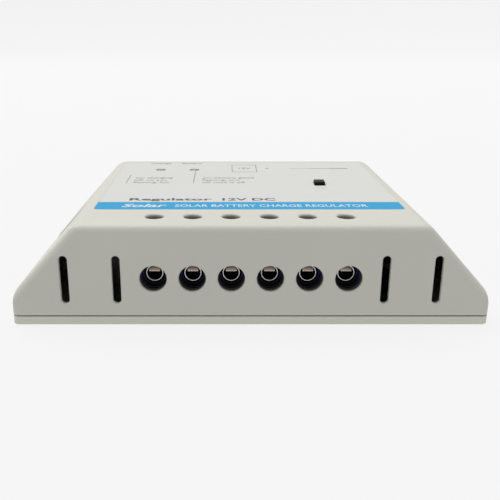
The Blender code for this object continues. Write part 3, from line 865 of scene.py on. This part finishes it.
def letters(words, slant, weight):
    """Words as a closed mesh one unit thick, on its underside's plane."""
    deselect()
    bpy.ops.object.text_add(location=(0, 0, 0))
    text = bpy.context.object.data
    text.body, text.extrude, text.shear, text.offset, text.resolution_u = words, 0.5, slant, weight, 3
    bpy.ops.object.convert(target="MESH")
    piece = settle("words")
    with editing(piece):
        bpy.ops.mesh.select_all(action="SELECT")
        bpy.ops.mesh.remove_doubles(threshold=0.00001)
        face_outwards()
        bpy.ops.transform.translate(value=(0, 0, 0.5))
    return piece


def fitted_words(words, left, right, low, high, slant=0.0, weight=0.012):
    """Words that fill a box on the label."""
    piece = letters(words, slant, weight)
    start, end = Vector(piece.bound_box[0]), Vector(piece.bound_box[6])
    wide, tall = (right - left) * MM / (end.x - start.x), (high - low) * MM / (end.y - start.y)
    piece.scale = (wide, tall, 1.0)
    piece.location = (left * MM - start.x * wide, low * MM - start.y * tall, 0.0)
    return settle("words")


def small_words(words, left, foot, size=2.05):
    """Words on a line of the label, all at one letter size."""
    piece = letters(words, 0.0, 0.006)
    piece.scale = (0.92 * size * MM, size * MM, 1.0)
    piece.location = (left * MM, foot * MM, 0.0)
    return settle("words")


def print_bar(left, right, low, high):
    return block("bar", (left * MM, low * MM, 0), (right * MM, high * MM, 1))


class CONTROLLER_OT_label(Operator):
    """The printed film on top, its coloured band and its plain generic wording"""

    bl_idname = "controller.label"
    bl_label = "Label"

    def execute(self, context):
        label = context.scene.controller_label
        low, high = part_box("label_overlay")
        cover_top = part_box("top_cover")[1].z
        face = cover_top - label.sink
        sheet = block(
            "label_sheet", (low.x, low.y, cover_top - label.recess + 0.01 * MM), (high.x, high.y, face)
        )
        round_edges(sheet, upright, MM, 6)
        cut(sheet, *light_and_sensor_tools(low.z - MM, high.z + MM, 1.3 * MM, 0.12 * MM))
        finish = film("label_film", label.film_colour, label.band_colour, label.band_back)
        complete(sheet, "case", "label_film", finish, "label_overlay")

        title = [
            fitted_words("Regulator", -25.4, -7.7, -13.9, -11.2, 0.0, 0.022),
            fitted_words("12V DC", -5.5, 5.9, -13.35, -11.2, 0.0, 0.022),
        ]
        banner = [
            fitted_words("Solar", -26.3, -16.9, -18.9, -16.3, 0.25, 0.025),
            fitted_words("SOLAR BATTERY CHARGE REGULATOR", -15.3, 24.6, -18.7, -16.7),
        ]
        notes = [*(small_words(*note) for note in NOTES), *(print_bar(*bar) for bar in BARS)]
        for name, pieces, colour in (
            ("label_title", title, label.dark_colour),
            ("label_banner", banner, label.white_colour),
            ("label_notes", notes, label.ink_colour),
        ):
            piece = merge(name, pieces)
            piece.scale.z, piece.location.z = label.ink, face
            settle(name)
            complete(piece, "case", "label_film", ink(name, colour))
        return {"FINISHED"}


# --- Terminals ---


class CONTROLLER_OT_housings(Operator):
    """Three two-pole terminal housings: made once, copied twice"""

    bl_idname = "controller.housings"
    bl_label = "Terminal Housings"

    def execute(self, context):
        terminal = context.scene.controller_terminal
        low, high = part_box("terminal_block_solar")
        centre, y, z = (low.x + high.x) / 2, middle("terminal_screw_1").y, wire_height()
        first = block("housing_solar", low, high)
        round_edges(first, lambda edge: lies_at(edge, Z, high.z) and lies_at(edge, Y, high.y), 2.7 * MM, 1)
        round_edges(first, lambda edge: sharp(edge) and not lies_at(edge, Z, low.z), 0.25 * MM)
        seam = 0.3 * MM
        corner = (centre - seam, low.y - MM, low.z - MM)
        cut(first, block("groove", corner, (centre + seam, low.y + 0.4 * MM, high.z + MM)))
        pockets, mouths, necks, wells = [], [], [], []
        for x, _ in spots("terminal_tube", (1, 2)):
            room = (x - 2.6 * MM, -28.2 * MM, 4.1 * MM), (x + 2.6 * MM, -22.1 * MM, 12.5 * MM)
            pockets.append(block("pocket", *room))
            mouths.append(tunnel(terminal.mouth, x, z, low.y - MM, terminal.mouth_back))
            necks.append(tunnel(2.05 * MM, x, z, terminal.mouth_back - 0.1 * MM, -27.8 * MM))
            wells.append(post(terminal.well, x, y, 12.0 * MM, high.z + MM, 64))
        for tools in (pockets, mouths, necks, wells):
            cut(first, *tools)

        def on_rim(edge):
            """A rim of a wire mouth."""
            return sharp(edge) and lies_at(edge, Y, low.y) and all(
                abs(place.z - z) < 2.6 * MM and abs(place.x - centre) > MM
                for place in (vert.co for vert in edge.verts)
            )

        round_edges(first, on_rim, 0.15 * MM)
        finish = housing_plastic("housing_plastic", terminal.housing_colour, z - terminal.mouth, z + MM)
        rows = [(f"housing_{name}", "case", f"terminal_block_{name}") for name in BLOCKS]
        repeat(first, "block_blue", finish, rows)
        return {"FINISHED"}


class CONTROLLER_OT_clamp_tubes(Operator):
    """Six square clamp tubes with round mouths: made once, copied five times"""

    bl_idname = "controller.clamp_tubes"
    bl_label = "Clamp Tubes"

    def execute(self, context):
        terminal = context.scene.controller_terminal
        low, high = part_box("terminal_tube_1")
        x, y, z = middle("terminal_tube_1").x, middle("terminal_screw_1").y, wire_height()

        def on_front(edge):
            return sharp(edge) and lies_at(edge, Y, low.y)

        def on_bore(edge):
            return on_front(edge) and all(
                math.hypot(vert.co.x - x, vert.co.z - z) < terminal.bore + NEAR for vert in edge.verts
            )

        first = block("clamp_tube_1", (low.x, terminal.body_front, terminal.body_foot), high)
        round_edges(first, sharp, 0.35 * MM, 4)
        collar = tunnel(terminal.collar, x, z, low.y, terminal.body_front + 0.5 * MM)
        round_edges(collar, on_front, 0.1 * MM)
        pin = post(0.6 * MM, x, y, low.z, terminal.body_foot + 0.6 * MM, 32)
        round_edges(pin, lambda edge: sharp(edge) and lies_at(edge, Z, low.z), 0.2 * MM)
        fuse(first, collar)
        fuse(first, pin)
        cut(first, tunnel(terminal.bore, x, z, low.y - MM, -23.2 * MM))
        cut(first, post(1.4 * MM, x, y, z, high.z + MM))
        round_edges(first, on_bore, 0.05 * MM, 2)
        finish = tube_metal("tube_nickel", terminal.nickel_colour)
        repeat(first, "nickel_plate", finish, numbered("clamp_tube", "terminal_tube", POLES))
        return {"FINISHED"}


def threads(radius, start, end, pitch):
    """The profile of a thread between two heights, as rings."""
    profile, height = [], start
    while height + pitch < end:
        profile += [(radius, height), (radius, height + 0.15 * pitch), (0.86 * radius, height + 0.5 * pitch)]
        height += pitch
    return [*profile, (radius, height), (radius, end)]


class CONTROLLER_OT_clamp_screws(Operator):
    """Six slotted clamp screws: made once, copied five times. Each turns with its own body"""

    bl_idname = "controller.clamp_screws"
    bl_label = "Clamp Screws"

    def execute(self, context):
        terminal = context.scene.controller_terminal
        low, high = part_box("terminal_screw_1")
        (x, y), radius = middle("terminal_screw_1").xy, (high.x - low.x) / 2
        head, foot, face = high.z - terminal.head, low.z, high.z
        profile = [
            (0.6 * MM, foot), (0.9 * MM, foot + 0.1 * MM),
            *threads(terminal.shank, foot + 0.3 * MM, head, terminal.pitch),
            (radius - 0.1 * MM, head), (radius, head + 0.1 * MM), (radius, face - 0.25 * MM),
            (radius - 0.07 * MM, face - 0.08 * MM), (radius - 0.25 * MM, face),
        ]
        first = turned("clamp_screw_1", profile, x, y, 64)
        slot = (x - 3 * MM, y - 0.35 * MM, face - 0.9 * MM), (x + 3 * MM, y + 0.35 * MM, face + MM)
        cut(first, block("slot", *slot))
        finish = metal("screw_steel", terminal.steel_colour, 0.28)
        repeat(first, "plated_screw", finish, numbered("clamp_screw", "terminal_screw", POLES, "screw_{}"))
        return {"FINISHED"}


class CONTROLLER_OT_wire_guards(Operator):
    """The sprung leaves under the clamp screws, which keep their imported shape"""

    bl_idname = "controller.wire_guards"
    bl_label = "Wire Guards"

    def execute(self, context):
        low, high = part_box("wire_guard_1")
        finish = leaf_metal("leaf_bronze", context.scene.controller_terminal.leaf_colour, low.z, high.z)
        coat([f"wire_guard_{number}" for number in POLES], finish)
        return {"FINISHED"}


# --- Lights, sensor, board and fixings ---


class CONTROLLER_OT_lights(Operator):
    """Two status lights: one is made, then copied"""

    bl_idname = "controller.lights"
    bl_label = "Status Lights"

    def execute(self, context):
        board = context.scene.controller_board
        low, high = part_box(LIGHTS[0])
        (x, y), rise = middle(LIGHTS[0]).xy, 0.65 * MM
        dome = [(1.25 * MM * math.cos(angle), high.z - rise + rise * math.sin(angle)) for angle in ARC]
        profile = [
            (1.5 * MM, 14.3 * MM), (1.65 * MM, 14.4 * MM), (1.65 * MM, 15.1 * MM), (1.55 * MM, 15.2 * MM),
            (1.25 * MM, 15.2 * MM), *dome, (0.02 * MM, high.z),
        ]
        first = turned("status_light_1", profile, x, y)
        for side in SIDES:
            fuse(first, post(LEAD, x + side * 1.27 * MM, y, low.z, 14.6 * MM, 16))
        finish = lens("status_lens", board.lens_colour, board.tin_colour)
        second = copy_of(first, "status_light_2", (middle(LIGHTS[1]).x - x, 0, 0))
        for piece, node in zip((first, second), LIGHTS):
            complete(piece, "case", "led_lens", finish, node)
        nylon = moulded("spacer_nylon", board.nylon_colour, 0.41, 0.2, 0.002)
        coat([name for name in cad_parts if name.endswith("_spacer")], nylon)
        return {"FINISHED"}


class CONTROLLER_OT_sensor(Operator):
    """The black temperature sensor that stands out of the label"""

    bl_idname = "controller.sensor"
    bl_label = "Temperature Sensor"

    def execute(self, context):
        low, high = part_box("temperature_sensor")
        x, y, foot = *((low + high) / 2).xy, 10.0 * MM
        sensor = block("sensor_body", (low.x, low.y, foot), high)
        round_edges(sensor, sharp, 0.18 * MM, 4)
        for side in SIDES:
            fuse(sensor, post(LEAD, x + side * 0.75 * MM, y, low.z, foot + 0.5 * MM, 16))
        tin, black = context.scene.controller_board.tin_colour, (0.004, 0.004, 0.0045)
        finish = compound_and_legs("sensor_black", tin, black, Z, foot / 2, foot / 2 - 0.01 * MM, True)
        complete(sensor, "case", "sensor_black", finish, "temperature_sensor")
        return {"FINISHED"}


def body_centre(node, axis):
    """Where a chip's body stands. A power transistor's legs reach further than its tab."""
    return -12.0 * MM if node.endswith("mosfet") else middle(node)[axis]


class CONTROLLER_OT_board(Operator):
    """The circuit board and the parts on it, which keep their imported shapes"""

    bl_idname = "controller.board"
    bl_label = "Circuit Board"

    def execute(self, context):
        board = context.scene.controller_board
        black, tan = (0.018, 0.018, 0.02), board.ceramic_colour
        coat(["circuit_board"], laminate("board_laminate", board.mask_colour))
        for name, nodes, axis, half, colour in (
            ("transistor_black", ("charge_mosfet", "reverse_mosfet", "load_mosfet"), Y, 3.08 * MM, black),
            ("diode_black", ("schottky_diode",), X, 2.93 * MM, black),
            ("suppressor_black", ("transient_suppressor",), X, 2.93 * MM, black),
            ("controller_black", ("microcontroller",), Y, 1.97 * MM, black),
            ("regulator_black", ("regulator_chip",), Y, 1.27 * MM, black),
            *((f"resistor_black_{n}", (f"chip_resistor_{n}",), X, 0.7 * MM, black) for n in range(1, 5)),
            *((f"ceramic_tan_{n}", (f"chip_capacitor_{n}",), X, 0.7 * MM, tan) for n in range(1, 5)),
        ):
            centre = body_centre(nodes[0], axis)
            coat(nodes, compound_and_legs(name, board.tin_colour, colour, axis, centre, half))
        coat(["current_shunt"], metal("shunt_metal", (0.45, 0.36, 0.30), 0.4, (1, 8, 8)))
        for name in ("input_capacitor", "output_capacitor"):
            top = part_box(name)[1].z
            coat([name], can(f"{name}_can", board.can_colour, board.sleeve_colour, top))
        return {"FINISHED"}


class CONTROLLER_OT_fixings(Operator):
    """Four screws that hold the base and four that hold the board: one of each kind, then copies"""

    bl_idname = "controller.fixings"
    bl_label = "Case and Board Screws"

    def execute(self, context):
        terminal = context.scene.controller_terminal
        finish = metal("fixing_steel", shade(terminal.steel_colour, 0.85), 0.3)
        low, high = (corner.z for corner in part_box("case_screw_1"))
        profile = [
            (1.8 * MM, low), (2.1 * MM, low + 0.3 * MM), (2.1 * MM, low + 1.1 * MM),
            (2.0 * MM, low + 1.2 * MM),
            *threads(MM, low + 1.2 * MM, high - 0.8 * MM, 0.8 * MM), (0.3 * MM, high),
        ]
        self.make("cover_screw", "case_screw", profile, low, 1, finish)
        low, high = (corner.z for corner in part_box("board_screw_1"))
        profile = [
            *threads(MM, low, 5.1 * MM, 0.8 * MM),
            (1.8 * MM, 5.1 * MM), (1.9 * MM, 5.2 * MM), (1.9 * MM, 6.0 * MM), (1.3 * MM, high),
        ]
        self.make("board_fixing", "board_screw", profile, high, -1, finish)
        return {"FINISHED"}

    def make(self, name, node, profile, face, inward, finish):
        """One screw with a cross recess in its face, then its copies."""
        x, y = middle(f"{node}_1").xy
        first = turned(f"{name}_1", profile, x, y)
        long, narrow = 1.1 * MM, 0.25 * MM
        near, far = sorted((face - inward * MM, face + inward * 0.8 * MM))
        for wide, deep in ((long, narrow), (narrow, long)):
            cut(first, block("cross", (x - wide, y - deep, near), (x + wide, y + deep, far)))
        repeat(first, "case_screw_steel", finish, numbered(name, node, SCREWS))


# --- Stage ---


class CONTROLLER_OT_stage(Operator):
    """Pale floor, soft light and the camera"""

    bl_idname = "controller.stage"
    bl_label = "Stage"

    def execute(self, context):
        scene, stage = context.scene, context.scene.controller_stage
        floor = self.make_floor(stage)

        bpy.ops.object.light_add(type="SUN", rotation=(math.radians(-12), math.radians(-10), 0))
        key = context.object
        key.name = "overhead_light"
        key.data.energy, key.data.angle = stage.key, math.radians(70)

        world = bpy.data.worlds.new("studio")
        world.use_nodes = True
        background = world.node_tree.nodes["Background"]
        background.inputs["Color"].default_value = (1.0, 0.985, 0.95, 1.0)
        background.inputs["Strength"].default_value = stage.ambient
        scene.world = world

        bpy.ops.object.camera_add(location=stage.place, rotation=(math.pi / 2 - stage.tilt, 0, 0))
        camera = context.object
        camera.name = "camera"
        camera.data.lens, camera.data.sensor_width = stage.lens, 36.0
        camera.data.shift_x = stage.shift
        camera.data.clip_start, camera.data.clip_end = 0.005, 60.0
        scene.camera = camera
        scene.view_settings.view_transform = "Standard"
        return {"FINISHED"}

    def make_floor(self, stage):
        """A round floor that sweeps up into a wall on all sides, just below the object."""
        radius, sweep = stage.floor_radius, stage.sweep
        floor = disc("floor", radius, -0.02 * MM, 96)
        bends = [math.radians(15 * step) for step in range(1, 7)]
        rings = [(radius + sweep * math.sin(bend), sweep * (1 - math.cos(bend))) for bend in bends]
        with editing(floor, "EDGE"):
            pick(floor, "edges", lambda edge: edge.is_boundary)
            extrude = bpy.ops.mesh.extrude_edges_move
            add_rings(extrude, radius, 0.0, [*rings, (radius + sweep, stage.wall_height)])
        bpy.ops.object.shade_smooth_by_angle(angle=SMOOTH)
        finish = Finish(
            "pale_floor", Specular_IOR_Level=0.1, Emission_Strength=stage.floor_glow,
            Emission_Color=stage.floor_colour,
        )
        body = finish.shades(finish.noise(500.0), stage.floor_paint, 0.99, 1.01)
        floor.data.materials.append(finish.done(body, 0.9))
        self.open_from_below(finish)
        return floor

    def open_from_below(self, finish):
        """Lets the underside of the object be seen through the floor's underside."""
        below = finish.node("ShaderNodeNewGeometry", {}, {}, "Backfacing")
        solid = Value(finish, finish.shader.outputs[0])
        clear = finish.node("ShaderNodeBsdfTransparent", {}, {})
        surface = finish.node("ShaderNodeMixShader", {}, {0: below, 1: solid, 2: clear})
        finish.feed(finish.tree.nodes["Material Output"], {"Surface": surface})


SETTINGS = {
    "controller_case": CaseSettings,
    "controller_label": LabelSettings,
    "controller_terminal": TerminalSettings,
    "controller_board": BoardSettings,
    "controller_stage": StageSettings,
}
STEPS = (
    CONTROLLER_OT_top_cover,
    CONTROLLER_OT_base_plate,
    CONTROLLER_OT_label,
    CONTROLLER_OT_housings,
    CONTROLLER_OT_clamp_tubes,
    CONTROLLER_OT_wire_guards,
    CONTROLLER_OT_clamp_screws,
    CONTROLLER_OT_lights,
    CONTROLLER_OT_sensor,
    CONTROLLER_OT_board,
    CONTROLLER_OT_fixings,
    CONTROLLER_OT_stage,
)


class VIEW3D_PT_controller(Panel):
    """Lists the steps in the sidebar"""

    bl_label = "Charge Controller"
    bl_space_type = "VIEW_3D"
    bl_region_type = "UI"
    bl_category = "Controller"

    def draw(self, context):
        for step in STEPS:
            self.layout.operator(step.bl_idname)
        for name, group in SETTINGS.items():
            box = self.layout.box()
            for key in group.__annotations__:
                box.prop(getattr(context.scene, name), key)


CLASSES = (*SETTINGS.values(), *STEPS, VIEW3D_PT_controller)


def register():
    for cls in CLASSES:
        bpy.utils.register_class(cls)
    for name, group in SETTINGS.items():
        setattr(bpy.types.Scene, name, PointerProperty(type=group))


def unregister():
    for name in SETTINGS:
        delattr(bpy.types.Scene, name)
    for cls in reversed(CLASSES):
        bpy.utils.unregister_class(cls)


def main():
    register()
    for step in STEPS:
        group, name = step.bl_idname.split(".")
        getattr(getattr(bpy.ops, group), name)()


if __name__ == "__main__":
    main()
